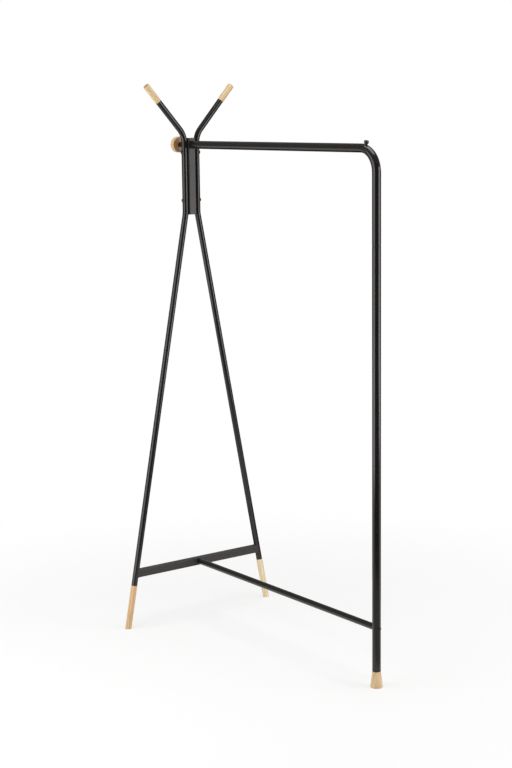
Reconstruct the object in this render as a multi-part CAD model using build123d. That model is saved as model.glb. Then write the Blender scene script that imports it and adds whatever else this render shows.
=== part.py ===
"""Valet stand: a bent-tube end frame, a hanging rail that turns down into a post, and wooden ends.

Millimetres, +Z up. The origin is on the floor, on the mirror plane of the stand, midway along its length.
The rail runs along X, from the end frame at -X to the post at +X.
"""
import math
import os

from build123d import *

# Tube stock
rail_tube_dia = 25.0
rail_tube_wall = 1.5
side_tube_dia = 19.0
side_tube_wall = 1.2
stretcher_dia = 19.0
stretcher_wall = 1.2
edge_break = 0.5

# Rail and post
rail_height = 1530.0
post_distance = 897.0
rail_bend_radius = 65.0
seam_below_rail = 265.0
joiner_length = 100.0
joiner_wall = 2.0
rail_plug_length = 20.0
post_plug_length = 22.0

# End frame
foot_spacing = 552.0
waist_spacing = 45.5
waist_bend_above_channel = 4.5
horn_bend_above_rail = 30.0
horn_angle = 42.0
horn_tube_length = 141.0
side_bend_radius = 65.0
channel_height = 240.0
channel_top_above_rail = 21.5
channel_sheet = 2.0
channel_corner = 3.0
screw_inset = 45.0

# Low bars
bar_height = 176.5
crossbar_depth = 18.0
crossbar_face = 26.0
crossbar_wall = 1.5
crossbar_corner = 2.5
stretcher_plug_length = 22.0

# Wooden ends
wood_dia = 20.0
wood_foot_length = 141.0
wood_tip_length = 65.0
tip_bevel = 1.2
spigot_length = 30.0
cone_height = 47.5
cone_base_dia = 36.0
cone_base_land = 2.0
cone_base_bevel = 1.0

# Peg behind the end frame
stem_dia = 16.0
knob_back = 58.0
knob_dia = 50.0
knob_thickness = 20.0
knob_crown = 2.0
knob_edge_bevel = 2.0
insert_dia = 12.0
insert_length = 13.0

# Button on the rail's bend that stops the hangers
stop_angle = 15.5
stop_neck_dia = 8.0
stop_neck_height = 3.5
stop_head_dia = 13.5
stop_head_height = 8.0
stop_head_bevel = 1.5
stop_shank_dia = 6.0
stop_shank_length = 5.0

# Screws and bolts: the small thread for the frame, the large one for the peg and the post's foot
small_thread = 6.0
large_thread = 8.0
screw_head_dia = 11.0
screw_head_height = 3.5
screw_head_bevel = 1.5
nut_flats = 10.0
nut_height = 5.0
screw_end = 1.5
bolt_engagement = 16.0
peg_thread_length = 16.0
foot_bolt_depth = 28.0

# Clearances on the radius or on one face
slip_gap = 0.1
thread_gap = 0.05
hole_gap = 0.25
weld_gap = 0.05

# Places worked out from the sizes above
frame_x = (knob_back + knob_thickness - post_distance - cone_base_dia / 2) / 2
post_x = frame_x + post_distance
rail_bore = rail_tube_dia - 2 * rail_tube_wall
side_bore = side_tube_dia - 2 * side_tube_wall
stretcher_bore = stretcher_dia - 2 * stretcher_wall
waist_y = waist_spacing / 2
foot_y = foot_spacing / 2
horn_bend_height = rail_height + horn_bend_above_rail
seam_height = rail_height - seam_below_rail
channel_width = waist_spacing - side_tube_dia - 2 * weld_gap
channel_top = rail_height + channel_top_above_rail
channel_bottom = channel_top - channel_height
waist_bend_height = channel_bottom + waist_bend_above_channel
leg_tilt = math.atan2(foot_y - waist_y, waist_bend_height)
channel_front_x = frame_x + side_tube_dia / 2
web_back_x = channel_front_x - channel_sheet
screw_heights = (channel_bottom + screw_inset, channel_top - screw_inset)
crossbar_front_x = frame_x + crossbar_depth / 2
crossbar_back_x = frame_x - crossbar_depth / 2
knob_inner_x = frame_x - knob_back

# Axes and points of the right-hand side tube, which the left-hand one mirrors
along_rail = Vector(1, 0, 0)
up_leg = Vector(0, -math.sin(leg_tilt), math.cos(leg_tilt))
up_horn = Vector(0, math.sin(math.radians(horn_angle)), math.cos(math.radians(horn_angle)))
leg_floor_point = Vector(frame_x, foot_y, 0)
foot_joint = leg_floor_point + up_leg * wood_foot_length
waist_corner = Vector(frame_x, waist_y, waist_bend_height)
horn_corner = Vector(frame_x, waist_y, horn_bend_height)
tip_joint = horn_corner + up_horn * horn_tube_length


def placed(piece, origin, direction):
    """Moves a piece made along Z so that its Z axis starts at a point and follows a direction."""
    return Plane(origin=origin, z_dir=direction).location * piece


def rod(start, direction, dia, length):
    """Solid round bar from a point along a direction."""
    return placed(extrude(Circle(dia / 2), amount=length), start, direction)


def pipe(start, direction, dia, bore, length):
    """Straight hollow round bar from a point along a direction."""
    return placed(extrude(Circle(dia / 2) - Circle(bore / 2), amount=length), start, direction)


def along_path(path, section):
    """Sweeps a flat section along a path of straight runs and tangent arcs."""
    return sweep(Plane(origin=path @ 0, z_dir=path % 0) * section, path=path)


def turned(*outline):
    """Solid turned about Z from corners (radius, height), the first and the last on the axis."""
    return revolve(Plane.XZ * make_face(Polyline(*outline, close=True)), axis=Axis.Z)


def rim(piece, height):
    """The widest round edge of a turned piece at a height on its own axis."""
    tolerance = edge_break / 10
    level = piece.edges().filter_by_position(Axis.Z, height - tolerance, height + tolerance)
    return level.filter_by(GeomType.CIRCLE).sort_by(SortBy.RADIUS)[-1]


def outer_mouth(tube, end):
    """The outer edge of a straight tube's lowest (0) or highest (-1) end."""
    return tube.edges().filter_by(GeomType.CIRCLE).group_by(Axis.Z)[end].sort_by(SortBy.RADIUS)[-1]


def twin(piece):
    """The same piece on the other side of the stand's mirror plane."""
    return mirror(piece, about=Plane.XZ)


def screw(seat, direction, length):
    """Low-headed screw: the head's flat on its seat, the shank along a direction."""
    head = extrude(Circle(screw_head_dia / 2), amount=-screw_head_height)
    head = chamfer(rim(head, -screw_head_height), screw_head_bevel)
    shank = extrude(Circle(small_thread / 2), amount=length)
    return placed(head + shank, seat, direction)


def cross_hole(point, direction, thread, reach):
    """Clearance hole for a thread, centred on a point and long enough to pass right through."""
    return rod(point - direction * reach, direction, thread + 2 * hole_gap, 2 * reach)


def side_tube():
    """Right-hand tube of the end frame: splayed leg, upright waist and outward horn in one bent piece."""
    path = FilletPolyline(foot_joint, waist_corner, horn_corner, tip_joint, radius=side_bend_radius)
    tube = along_path(path, Circle(side_tube_dia / 2) - Circle(side_bore / 2))
    for height in screw_heights:
        tube -= cross_hole(Vector(frame_x, waist_y, height), Vector(0, 1, 0), small_thread, side_tube_dia)
    return tube


def wood_end(length):
    """Turned wooden end: a spigot below Z=0 that fits in a side tube, and the showing body above it."""
    body_radius = wood_dia / 2
    spigot_radius = side_bore / 2 - slip_gap
    return turned(
        (0, -spigot_length),
        (spigot_radius - edge_break, -spigot_length),
        (spigot_radius, edge_break - spigot_length),
        (spigot_radius, 0),
        (body_radius - edge_break, 0),
        (body_radius, edge_break),
        (body_radius, length),
        (0, length),
    )


def wood_foot():
    """Right-hand leg end, cut level with the floor."""
    past_floor = wood_end(wood_foot_length + wood_dia)
    return split(placed(past_floor, foot_joint, -up_leg), bisect_by=Plane.XY, keep=Keep.TOP)


def horn_tip():
    """Right-hand horn end with a softened outer edge."""
    tip = wood_end(wood_tip_length)
    tip = chamfer(rim(tip, wood_tip_length), tip_bevel)
    return placed(tip, tip_joint, up_horn)


def head_channel():
    """Folded channel between the two waists, its web flush with the front of the tubes."""
    outer = Rectangle(side_tube_dia, channel_width)
    outer = fillet(outer.vertices().group_by(Axis.X)[-1], channel_corner)
    inner = Rectangle(side_tube_dia, channel_width - 2 * channel_sheet)
    inner = fillet(inner.vertices().group_by(Axis.X)[-1], channel_corner - channel_sheet)
    section = outer - Pos(-channel_sheet, 0) * inner
    channel = Pos(frame_x, 0, channel_bottom) * extrude(section, amount=channel_height)
    for height in screw_heights:
        channel -= cross_hole(Vector(frame_x, 0, height), Vector(0, 1, 0), small_thread, waist_spacing)
    web_middle = Vector(channel_front_x, 0, rail_height)
    return channel - cross_hole(web_middle, along_rail, large_thread, 2 * channel_sheet)


def channel_screw(height):
    """Screw from the outside of the right-hand tube, through the tube and the channel's side."""
    seat = Vector(frame_x, waist_y + side_tube_dia / 2, height)
    length = side_tube_dia + weld_gap + channel_sheet + nut_height + screw_end
    return screw(seat, Vector(0, -1, 0), length)


def channel_nut(height):
    """Nut on the inside of the channel's right-hand side."""
    section = RegularPolygon(nut_flats / 2, 6, major_radius=False) - Circle(small_thread / 2 + thread_gap)
    seat = Vector(frame_x, channel_width / 2 - channel_sheet, height)
    return placed(extrude(section, amount=nut_height), seat, Vector(0, -1, 0))


def both_sides(make, heights):
    """One piece at each height on the right-hand side, and its twins on the left."""
    right = [make(height) for height in heights]
    return Compound(right + [twin(piece) for piece in right])


def crossbar():
    """Flat-faced tube between the legs, each end hollowed to lie against its leg."""
    section = RectangleRounded(crossbar_depth, crossbar_face, crossbar_corner)
    bore_depth = crossbar_depth - 2 * crossbar_wall
    bore_face = crossbar_face - 2 * crossbar_wall
    bore = RectangleRounded(bore_depth, bore_face, crossbar_corner - crossbar_wall)
    half_length = foot_y - math.tan(leg_tilt) * bar_height
    start = Plane(origin=(frame_x, -half_length, bar_height), x_dir=along_rail, z_dir=(0, 1, 0))
    bar = extrude(start * (section - bore), amount=2 * half_length)
    leg = rod(leg_floor_point, up_leg, side_tube_dia + 2 * weld_gap, 2 * bar_height)
    bar = bar - leg - twin(leg)
    return bar - cross_hole(Vector(frame_x, 0, bar_height), along_rail, small_thread, crossbar_depth)


def stretcher_tube():
    """Low round tube from the crossbar's face, its far end hollowed to lie against the post."""
    start = Vector(crossbar_front_x, 0, bar_height)
    tube = pipe(start, along_rail, stretcher_dia, stretcher_bore, post_x - crossbar_front_x)
    post = rod((post_x, 0, cone_height), (0, 0, 1), rail_tube_dia + 2 * weld_gap, 2 * bar_height)
    return tube - post


def stretcher_plug(start_x, direction):
    """Threaded plug inside one end of the stretcher."""
    plug_dia = stretcher_bore - 2 * slip_gap
    thread = small_thread + 2 * thread_gap
    return pipe((start_x, 0, bar_height), direction, plug_dia, thread, stretcher_plug_length)


def rail_path():
    """Centre line of the hanging rail, from the channel's face round the bend to the post's seam."""
    start = (channel_front_x, 0, rail_height)
    corner = (post_x, 0, rail_height)
    seam = (post_x, 0, seam_height)
    return FilletPolyline(start, corner, seam, radius=rail_bend_radius)


def stop_place():
    """Where the hanger stop stands on the outside of the bend, and the way it points."""
    angle = math.radians(stop_angle)
    outward = Vector(math.sin(angle), 0, math.cos(angle))
    bend_centre = Vector(post_x - rail_bend_radius, 0, rail_height - rail_bend_radius)
    return bend_centre + outward * (rail_bend_radius + rail_tube_dia / 2), outward


def rail_tube():
    """Hanging rail, bend and top of the post in one bent tube, with a hole for the hanger stop."""
    tube = along_path(rail_path(), Circle(rail_tube_dia / 2) - Circle(rail_bore / 2))
    tube = chamfer(outer_mouth(tube, 0), edge_break)
    foot, outward = stop_place()
    return tube - rod(foot + outward, -outward, stop_shank_dia + 2 * slip_gap, rail_tube_dia / 2)


def hanger_stop():
    """Turned button whose neck is hollowed to the bend and whose shank goes through the tube's wall."""
    foot, outward = stop_place()
    head_top = stop_neck_height + stop_head_height
    button = turned(
        (0, -stop_neck_dia / 4),
        (stop_neck_dia / 2, -stop_neck_dia / 4),
        (stop_neck_dia / 2, stop_neck_height),
        (stop_head_dia / 2, stop_neck_height),
        (stop_head_dia / 2, head_top),
        (0, head_top),
    )
    button = chamfer(rim(button, head_top), stop_head_bevel)
    solid_rail = along_path(rail_path(), Circle(rail_tube_dia / 2 + weld_gap))
    button = placed(button, foot, outward) - solid_rail
    shank_start = foot + outward * stop_neck_height
    return button + rod(shank_start, -outward, stop_shank_dia, stop_neck_height + stop_shank_length)


def rail_end_plug():
    """Threaded plug inside the rail's end at the channel."""
    plug_dia = rail_bore - 2 * slip_gap
    start = (channel_front_x, 0, rail_height)
    return pipe(start, along_rail, plug_dia, large_thread + 2 * thread_gap, rail_plug_length)


def post_joiner():
    """Sleeve inside the post, half above and half below the seam."""
    sleeve_dia = rail_bore - 2 * slip_gap
    start = (post_x, 0, seam_height - joiner_length / 2)
    return pipe(start, (0, 0, 1), sleeve_dia, sleeve_dia - 2 * joiner_wall, joiner_length)


def lower_post():
    """Straight lower tube of the post, drilled for the stretcher's bolt."""
    tube = pipe((post_x, 0, cone_height), (0, 0, 1), rail_tube_dia, rail_bore, seam_height - cone_height)
    tube = chamfer([outer_mouth(tube, 0), outer_mouth(tube, -1)], edge_break)
    return tube - cross_hole(Vector(post_x, 0, bar_height), along_rail, small_thread, rail_tube_dia)


def post_foot_plug():
    """Threaded plug inside the post's lower end."""
    plug_dia = rail_bore - 2 * slip_gap
    start = (post_x, 0, cone_height)
    return pipe(start, (0, 0, 1), plug_dia, large_thread + 2 * thread_gap, post_plug_length)


def foot_bolt():
    """Double-ended screw: the lower end in the wooden foot, the upper end in the post's plug."""
    start = (post_x, 0, cone_height - foot_bolt_depth)
    return rod(start, (0, 0, 1), large_thread, foot_bolt_depth + bolt_engagement)


def cone_foot():
    """Turned wooden foot that flares from the post's width to a broad base with a short upright land."""
    foot = turned(
        (0, 0),
        (cone_base_dia / 2, 0),
        (cone_base_dia / 2, cone_base_land),
        (rail_tube_dia / 2, cone_height),
        (0, cone_height),
    )
    foot = chamfer(rim(foot, 0), cone_base_bevel)
    drilled_from = (0, 0, cone_height - foot_bolt_depth - screw_end)
    foot -= rod(drilled_from, (0, 0, 1), large_thread + 2 * thread_gap, cone_height)
    return Pos(post_x, 0, 0) * foot


def stretcher_post_bolt():
    """Bolt from the post's outer side, through the post into the stretcher's plug."""
    seat = (post_x + rail_tube_dia / 2, 0, bar_height)
    return screw(seat, -along_rail, rail_tube_dia + bolt_engagement)


def stretcher_crossbar_bolt():
    """Bolt from behind the crossbar into the stretcher's other plug."""
    seat = (crossbar_back_x, 0, bar_height)
    return screw(seat, along_rail, crossbar_depth + bolt_engagement)


def peg_stem():
    """Round stem that bears on the channel's web, threaded into the rail's plug and into the knob."""
    stem_length = web_back_x - knob_inner_x
    knob_thread_end = stem_length + insert_length - screw_end
    stem = turned(
        (0, -peg_thread_length),
        (large_thread / 2 - edge_break, -peg_thread_length),
        (large_thread / 2, edge_break - peg_thread_length),
        (large_thread / 2, 0),
        (stem_dia / 2, 0),
        (stem_dia / 2, stem_length),
        (large_thread / 2, stem_length),
        (large_thread / 2, knob_thread_end - edge_break),
        (large_thread / 2 - edge_break, knob_thread_end),
        (0, knob_thread_end),
    )
    return placed(stem, (web_back_x, 0, rail_height), -along_rail)


def knob():
    """Round wooden knob with a crowned outer face, bevelled rims and a blind hole for its insert."""
    side_height = knob_thickness - knob_crown
    radius = knob_dia / 2
    crown_radius = (radius**2 + knob_crown**2) / (2 * knob_crown)
    crown = RadiusArc((0, knob_thickness), (radius, side_height), crown_radius)
    sides = Polyline((0, knob_thickness), (0, 0), (radius, 0), (radius, side_height))
    body = revolve(Plane.XZ * make_face([crown, sides]), axis=Axis.Z)
    body = chamfer([rim(body, 0), rim(body, side_height)], knob_edge_bevel)
    body -= rod((0, 0, 0), (0, 0, 1), insert_dia + 2 * slip_gap, insert_length)
    return placed(body, (knob_inner_x, 0, rail_height), -along_rail)


def knob_insert():
    """Threaded insert inside the knob."""
    start = (knob_inner_x, 0, rail_height)
    return pipe(start, -along_rail, insert_dia, large_thread + 2 * thread_gap, insert_length)


def stand():
    """All the pieces of the stand by name."""
    right_tube = side_tube()
    right_foot = wood_foot()
    right_tip = horn_tip()
    plug_at_post = post_x - rail_tube_dia / 2 - weld_gap
    return {
        "left_side_tube": twin(right_tube),
        "right_side_tube": right_tube,
        "head_channel": head_channel(),
        "channel_screws": both_sides(channel_screw, screw_heights),
        "channel_nuts": both_sides(channel_nut, screw_heights),
        "crossbar": crossbar(),
        "left_wood_foot": twin(right_foot),
        "right_wood_foot": right_foot,
        "left_horn_tip": twin(right_tip),
        "right_horn_tip": right_tip,
        "rail_tube": rail_tube(),
        "rail_end_plug": rail_end_plug(),
        "hanger_stop_stud": hanger_stop(),
        "post_joiner": post_joiner(),
        "lower_post": lower_post(),
        "post_foot_plug": post_foot_plug(),
        "foot_bolt": foot_bolt(),
        "cone_foot": cone_foot(),
        "stretcher_tube": stretcher_tube(),
        "stretcher_front_plug": stretcher_plug(crossbar_front_x, along_rail),
        "stretcher_post_plug": stretcher_plug(plug_at_post, -along_rail),
        "stretcher_crossbar_bolt": stretcher_crossbar_bolt(),
        "stretcher_post_bolt": stretcher_post_bolt(),
        "peg_stem": peg_stem(),
        "knob": knob(),
        "knob_insert": knob_insert(),
    }


os.makedirs("parts", exist_ok=True)
for name, piece in stand().items():
    export_step(piece, f"parts/{name}.step")
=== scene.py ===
"""Looks of the valet stand: powder-coated tubes, turned beech ends, screws and a white studio.

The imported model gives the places. Sizes are millimetres, but metres in the studio, and meshes are metres.
"""
import logging
import math
from dataclasses import dataclass, field
from enum import Enum
from typing import Sequence

import bmesh
import bpy
from bpy.types import Material, Modifier, Node, NodeSocket, NodeTree, Object
from mathutils import Matrix, Quaternion, Vector


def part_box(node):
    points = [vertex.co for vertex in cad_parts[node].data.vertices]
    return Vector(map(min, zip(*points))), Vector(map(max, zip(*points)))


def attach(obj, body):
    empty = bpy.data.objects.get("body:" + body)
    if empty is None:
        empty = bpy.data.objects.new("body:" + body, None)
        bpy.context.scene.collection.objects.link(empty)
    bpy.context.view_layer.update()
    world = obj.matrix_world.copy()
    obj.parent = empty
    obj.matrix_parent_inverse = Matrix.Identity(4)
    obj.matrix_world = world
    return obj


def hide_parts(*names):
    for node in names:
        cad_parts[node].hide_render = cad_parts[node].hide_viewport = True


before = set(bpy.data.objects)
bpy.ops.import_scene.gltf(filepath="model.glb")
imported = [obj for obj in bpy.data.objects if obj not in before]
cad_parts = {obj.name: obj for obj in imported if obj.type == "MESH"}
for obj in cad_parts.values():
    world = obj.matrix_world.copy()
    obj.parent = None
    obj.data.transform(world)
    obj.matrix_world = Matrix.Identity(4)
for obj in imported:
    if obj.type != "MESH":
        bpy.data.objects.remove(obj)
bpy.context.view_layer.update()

log = logging.getLogger("valet_stand")
MM = 0.001
UP = Vector((0.0, 0.0, 1.0))
ALONG_RAIL = Vector((1.0, 0.0, 0.0))
WHITE = "#FFFFFF"
TUBE_SIDES = 64
TURNED_SIDES = 96
# Edges that turn by more than these degrees look sharp.
TUBE_CREASE = 40
TURNED_CREASE = 35
SCREW_CREASE = 32


class Body(Enum):
    """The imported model's bodies."""

    STAND = "stand"
    STEM = "peg_stem"
    KNOB = "knob"


class Slot(Enum):
    """The record's material slots."""

    BLACK = "black_powder_coat"
    WOOD = "pale_wood"
    ZINC = "zinc_steel"


class Side(Enum):
    """The end frame's two sides, with the sign of their places across the stand."""

    LEFT = -1
    RIGHT = 1


def linear(colour: str) -> tuple[float, float, float, float]:
    """Turns an sRGB hex colour into linear RGBA, by the standard's own curve.

    Args:
        colour: the colour as "#RRGGBB".

    Returns:
        Red, green, blue and an alpha of one.
    """
    parts = [int(colour[i:i + 2], 16) / 255 for i in (1, 3, 5)]
    red, green, blue = [c / 12.92 if c <= 0.04045 else ((c + 0.055) / 1.055) ** 2.4 for c in parts]
    return red, green, blue, 1.0


def add_node(tree: NodeTree, kind: str, inputs: dict | None = None, **settings: object) -> Node:
    """Adds a node with its settings, values and links.

    Args:
        tree: the tree that gets the node.
        kind: the node's type name.
        inputs: by input name or number, a value, the socket that feeds it, the node whose first output in
            use feeds it, or a list of such nodes and sockets.
        **settings: properties of the node itself.

    Returns:
        The new node.
    """
    node = tree.nodes.new(kind)
    for key, value in settings.items():
        setattr(node, key, value)
    for key, value in (inputs or {}).items():
        for source in value if isinstance(value, list) else [value]:
            if isinstance(source, Node):
                source = next(socket for socket in source.outputs if socket.enabled)
            if isinstance(source, NodeSocket):
                tree.links.new(source, node.inputs[key])
            else:
                node.inputs[key].default_value = source
    return node


def new_material(name: str) -> tuple[Material, NodeTree]:
    """Makes an empty node material.

    Args:
        name: the material's name.

    Returns:
        The material and its cleared node tree.
    """
    material = bpy.data.materials.new(name)
    material.use_nodes = True
    material.node_tree.nodes.clear()
    return material, material.node_tree


@dataclass(frozen=True)
class PowderCoat:
    """Satin black polyester powder, sprayed on steel and baked.

    The powder flows out into a soft orange peel, so the coat mirrors lamps as long streaks with slightly
    wavering edges on an even, warm black.
    """

    name: str = "satin_black_powder_coat"
    dark: str = "#1A1716"
    light: str = "#201D1B"
    ior: float = 1.46
    glossy: float = 0.12
    dull: float = 0.17
    peel: float = 6.0
    peel_height: float = 0.3
    peel_strength: float = 0.06
    patch: float = 60.0
    patch_span: tuple[float, float] = (0.3, 0.7)

    def material(self) -> Material:
        """Builds the material, with the peel some four times as coarse as the real one so that it shows.

        Returns:
            The new material.
        """
        material, tree = new_material(self.name)
        place = add_node(tree, "ShaderNodeTexCoord").outputs["Object"]
        peel = add_node(tree, "ShaderNodeTexNoise",
                        {"Vector": place, "Scale": 1 / (self.peel * MM), "Detail": 2.0, "Roughness": 0.45})
        patch = add_node(tree, "ShaderNodeTexNoise",
                         {"Vector": place, "Scale": 1 / (self.patch * MM), "Detail": 3.0, "Roughness": 0.6})
        colour = add_node(tree, "ShaderNodeMix", {0: patch, 6: linear(self.dark), 7: linear(self.light)},
                          data_type="RGBA")
        gloss = add_node(tree, "ShaderNodeMapRange",
                         {"Value": patch, "From Min": self.patch_span[0], "From Max": self.patch_span[1],
                          "To Min": self.glossy, "To Max": self.dull})
        bump = add_node(tree, "ShaderNodeBump", {"Height": peel, "Strength": self.peel_strength,
                                                 "Distance": self.peel_height * MM})
        shader = add_node(tree, "ShaderNodeBsdfPrincipled",
                          {"Base Color": colour, "Roughness": gloss, "IOR": self.ior, "Normal": bump})
        add_node(tree, "ShaderNodeOutputMaterial", {"Surface": shader})
        return material


class BeechTone(Enum):
    """Colours of the early wood, the late wood and the flecks, from the palest set to the most orange one."""

    PALEST = ("#F5E6C4", "#DABC8C", "#BC9664")
    STRAW = ("#E7D3AB", "#CBAA78", "#AC8452")
    PALE = ("#E3CCA4", "#C59E6D", "#A67A4A")
    HONEY = ("#DEBE92", "#C09460", "#A27241")


@dataclass(frozen=True)
class TurnedBeech:
    """Steamed beech, turned on a lathe and clear-lacquered.

    Straight growth lines run along the piece, with short brown flecks between them, under a thin satin
    lacquer that leaves the pale honey colour. Faces cut across the grain soak up more of it and turn browner.
    The back face, where the piece starts, is browner still: painted shade laid on top of its end grain.
    """

    name: str
    centre: Vector
    grain: Vector
    heart: tuple[float, float]
    tone: BeechTone = BeechTone.PALE
    end_grain_and_shade_brown: str = "#A06E45"
    end_share: float = 0.4
    # Share of painted shade on the back face, drawn in the end-grain brown.
    back_shade_share: float = 0.9
    ring: float = 8.0
    ring_share: float = 0.55
    fibre: float = 3.6
    fibre_squeeze: float = 0.03
    fleck_width: float = 2.2
    fleck_squeeze: float = 0.07
    fleck_span: tuple[float, float] = (0.62, 0.74)
    fleck_share: float = 0.25
    grain_height: float = 0.2
    grain_strength: float = 0.04
    ior: float = 1.5
    roughness: tuple[float, float] = (0.36, 0.5)
    lacquer: float = 0.2
    lacquer_roughness: float = 0.22

    def local_place(self, tree: NodeTree) -> Node:
        """Turns the Object coordinates so that Z follows the grain and the tree's heart lies off to one side.

        Args:
            tree: the material's tree.

        Returns:
            The node with the turned coordinates in metres.
        """
        turn = self.grain.rotation_difference(UP)
        shift = Vector((self.heart[0] * MM, self.heart[1] * MM, 0.0)) - turn @ self.centre
        place = add_node(tree, "ShaderNodeTexCoord").outputs["Object"]
        return add_node(tree, "ShaderNodeMapping",
                        {"Vector": place, "Location": shift, "Rotation": turn.to_euler()},
                        vector_type="POINT")

    def material(self) -> Material:
        """Builds the material, with rings, fibres and flecks about twice as coarse as real so that they show.

        Returns:
            The new material.
        """
        material, tree = new_material(self.name)
        early, late, fleck = (linear(colour) for colour in self.tone.value)
        place = self.local_place(tree)
        drawn, short = [add_node(tree, "ShaderNodeMapping", {"Vector": place, "Scale": (1.0, 1.0, squeeze)})
                        for squeeze in (self.fibre_squeeze, self.fleck_squeeze)]
        # A ring texture has one turn in pi/10 units at scale one.
        rings = add_node(tree, "ShaderNodeTexWave",
                         {"Vector": drawn, "Scale": math.pi / 10 / (self.ring * MM), "Distortion": 2.2,
                          "Detail": 2.0, "Detail Scale": 0.6, "Detail Roughness": 0.5},
                         wave_type="RINGS", rings_direction="Z", wave_profile="SAW").outputs["Fac"]
        fibres = add_node(tree, "ShaderNodeTexNoise",
                          {"Vector": drawn, "Scale": 1 / (self.fibre * MM), "Detail": 3.0, "Roughness": 0.6})
        flecks = add_node(tree, "ShaderNodeTexNoise",
                          {"Vector": short, "Scale": 1 / (self.fleck_width * MM), "Detail": 0.0})
        ends = add_node(tree, "ShaderNodeAttribute", attribute_name="cut_across").outputs["Fac"]
        across = add_node(tree, "ShaderNodeMath", {0: ends}, operation="ABSOLUTE")
        strongest = add_node(tree, "ShaderNodeMath", {0: across, 1: -self.fleck_share, 2: self.fleck_share},
                             operation="MULTIPLY_ADD")
        flecked = add_node(tree, "ShaderNodeMapRange",
                           {"Value": flecks, "From Min": self.fleck_span[0], "From Max": self.fleck_span[1],
                            "To Min": 0.0, "To Max": strongest})
        grain = add_node(tree, "ShaderNodeMath", {0: rings, 1: self.ring_share}, operation="MULTIPLY")
        grain = add_node(tree, "ShaderNodeMath", {0: fibres, 1: 1 - self.ring_share, 2: grain},
                         operation="MULTIPLY_ADD")
        # The back face, where the piece starts, gets painted shade in the end-grain brown; the other cut faces
        # get only their end-grain brown.
        front, back = [add_node(tree, "ShaderNodeMath", {0: ends, 1: share}, operation="MULTIPLY",
                                use_clamp=True) for share in (self.end_share, -self.back_shade_share)]
        end_grain_and_shade = add_node(tree, "ShaderNodeMath", {0: front, 1: back}, operation="ADD")
        wood = early
        for share, colour in ((grain, late), (flecked, fleck), (end_grain_and_shade, linear(self.end_grain_and_shade_brown))):
            wood = add_node(tree, "ShaderNodeMix", {0: share, 6: wood, 7: colour}, data_type="RGBA")
        gloss = add_node(tree, "ShaderNodeMapRange",
                         {"Value": fibres, "To Min": self.roughness[0], "To Max": self.roughness[1]})
        bump = add_node(tree, "ShaderNodeBump", {"Height": grain, "Strength": self.grain_strength,
                                                 "Distance": self.grain_height * MM})
        shader = add_node(tree, "ShaderNodeBsdfPrincipled",
                          {"Base Color": wood, "Roughness": gloss, "IOR": self.ior, "Normal": bump,
                           "Coat Weight": self.lacquer, "Coat Roughness": self.lacquer_roughness})
        add_node(tree, "ShaderNodeOutputMaterial", {"Surface": shader})
        return material


@dataclass(frozen=True)
class PlatedSteel:
    """Bright zinc plating on turned steel: a bluish grey metal with a fine, uneven dullness."""

    name: str = "zinc_plated_steel"
    bright: str = "#C3C7CC"
    dull: str = "#9EA2A8"
    grain: float = 0.8
    roughness: tuple[float, float] = (0.26, 0.46)

    def material(self) -> Material:
        """Builds the material, with the grain a few times as coarse as the real one so that it shows.

        Returns:
            The new material.
        """
        material, tree = new_material(self.name)
        place = add_node(tree, "ShaderNodeTexCoord").outputs["Object"]
        noise = add_node(tree, "ShaderNodeTexNoise",
                         {"Vector": place, "Scale": 1 / (self.grain * MM), "Detail": 3.0, "Roughness": 0.6})
        colour = add_node(tree, "ShaderNodeMix", {0: noise, 6: linear(self.bright), 7: linear(self.dull)},
                          data_type="RGBA")
        gloss = add_node(tree, "ShaderNodeMapRange",
                         {"Value": noise, "To Min": self.roughness[0], "To Max": self.roughness[1]})
        shader = add_node(tree, "ShaderNodeBsdfPrincipled",
                          {"Base Color": colour, "Metallic": 1.0, "Roughness": gloss})
        add_node(tree, "ShaderNodeOutputMaterial", {"Surface": shader})
        return material


def centre_of(node: str) -> Vector:
    """The middle of a CAD node's box."""
    low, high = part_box(node)
    return (low + high) / 2


def finished(piece: Object, body: Body, slot: Slot, *nodes: str) -> None:
    """Lets a piece ride on its body and stand for its CAD nodes, and logs its face count.

    Args:
        piece: the new piece.
        body: the body that it moves with.
        slot: the record's slot of its finish; not used.
        *nodes: the CAD nodes that it stands for, or none.
    """
    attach(piece, body.value)
    if nodes:
        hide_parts(*nodes)
    faces = len(piece.data.polygons)
    log.info("%s: %d faces, stands for %s", piece.name, faces, ", ".join(nodes) or "itself")


def dressed(node: str, material: Material) -> None:
    """Gives a CAD node that shows as it is a material.

    Args:
        node: the CAD node's name.
        material: its finish.
    """
    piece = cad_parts[node]
    piece.data.materials.clear()
    piece.data.materials.append(material)
    log.info("%s: the CAD node itself", node)


def placed_object(name: str, points: Sequence, edges: Sequence = (), faces: Sequence = ()) -> Object:
    """Makes a mesh object at the origin.

    Args:
        name: the object's name.
        points: vertex places in metres.
        edges: pairs of vertex numbers.
        faces: tuples of vertex numbers.

    Returns:
        The new object, linked to the scene.
    """
    mesh = bpy.data.meshes.new(name)
    mesh.from_pydata([tuple(point) for point in points], edges, faces)
    piece = bpy.data.objects.new(name, mesh)
    bpy.context.scene.collection.objects.link(piece)
    return piece


def keep_result(piece: Object, modifier: Modifier) -> None:
    """Turns a modifier's result into the piece's plain mesh and removes the modifier.

    Args:
        piece: the object with the modifier.
        modifier: the modifier that is kept as mesh.
    """
    depsgraph = bpy.context.evaluated_depsgraph_get()
    made = bpy.data.meshes.new_from_object(piece.evaluated_get(depsgraph), depsgraph=depsgraph)
    piece.modifiers.remove(modifier)
    piece.data = made
    made.name = piece.name


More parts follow.
